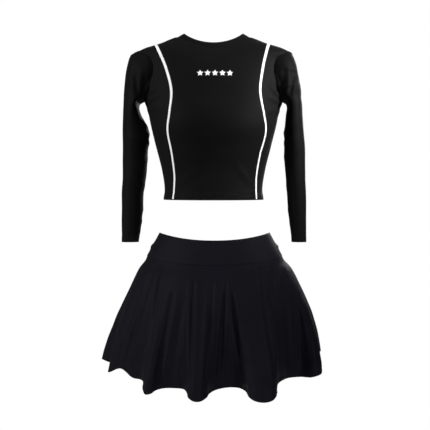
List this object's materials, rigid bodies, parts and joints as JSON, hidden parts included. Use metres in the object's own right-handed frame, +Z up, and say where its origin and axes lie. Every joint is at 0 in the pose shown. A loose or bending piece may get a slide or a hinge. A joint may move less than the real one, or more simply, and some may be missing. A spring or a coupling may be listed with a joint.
{
  "type": "cheerleading uniform",
  "caption": "Long-sleeved fitted crop top with contrast princess-seam strips and a row of chest stars, with a separate flared skater skirt on a wide shaped waistband.",
  "frame": {"origin": "centre of the wearer's waist, on the centre line, level with the sides of the skirt's top edge", "axes": "+Z up the wearer, -Y out of the front of the garment, +X to the wearer's left"},
  "size_m": [0.5281, 0.4294, 0.8248],
  "materials": {
    "top_knit": "matte stretch knit with a soft sheen",
    "skirt_knit": "matte stretch knit, very dark navy",
    "waistband_knit": "matte stretch knit, smooth double layer",
    "white_trim": "flat white tape",
    "elastic_tape": "woven elastic and cotton tape",
    "label_satin": "satin, blank"
  },
  "bodies": {
    "top": {"front_centre_panel": "top_knit", "side_front_panel_left": "top_knit", "side_front_panel_right": "top_knit", "back_panel": "top_knit", "neckband": "top_knit", "seam_strip_left": "white_trim", "seam_strip_right": "white_trim", "chest_star_1": "white_trim", "chest_star_2": "white_trim", "chest_star_3": "white_trim", "chest_star_4": "white_trim", "chest_star_5": "white_trim", "shoulder_tape_left": "elastic_tape", "shoulder_tape_right": "elastic_tape", "top_hem_elastic": "elastic_tape", "back_neck_tape": "elastic_tape", "size_label": "label_satin", "care_label": "label_satin"},
    "sleeve_left": {"sleeve_left": "top_knit", "cuff_hem_left": "top_knit"},
    "sleeve_right": {"sleeve_right": "top_knit", "cuff_hem_right": "top_knit"},
    "skirt": {"waistband_front": "waistband_knit", "waistband_back": "waistband_knit", "waist_elastic": "elastic_tape", "waistband_facing_front": "waistband_knit", "waistband_facing_back": "waistband_knit", "skirt_label": "label_satin", "skirt_front_panel": "skirt_knit", "skirt_back_panel": "skirt_knit"}
  },
  "joints": [
    {"name": "shoulder_left", "type": "hinge", "parent": "top", "child": "sleeve_left", "pos_m": [0.16, 0, 0.387], "axis": [0, -1, 0], "range_deg": [0, 90]},
    {"name": "shoulder_right", "type": "hinge", "parent": "top", "child": "sleeve_right", "pos_m": [-0.16, 0, 0.387], "axis": [0, 1, 0], "range_deg": [0, 90]},
    {"name": "skirt_pull_down", "type": "slide", "parent": "top", "child": "skirt", "axis": [0, 0, -1], "range_m": [0, 0.25]}
  ]
}
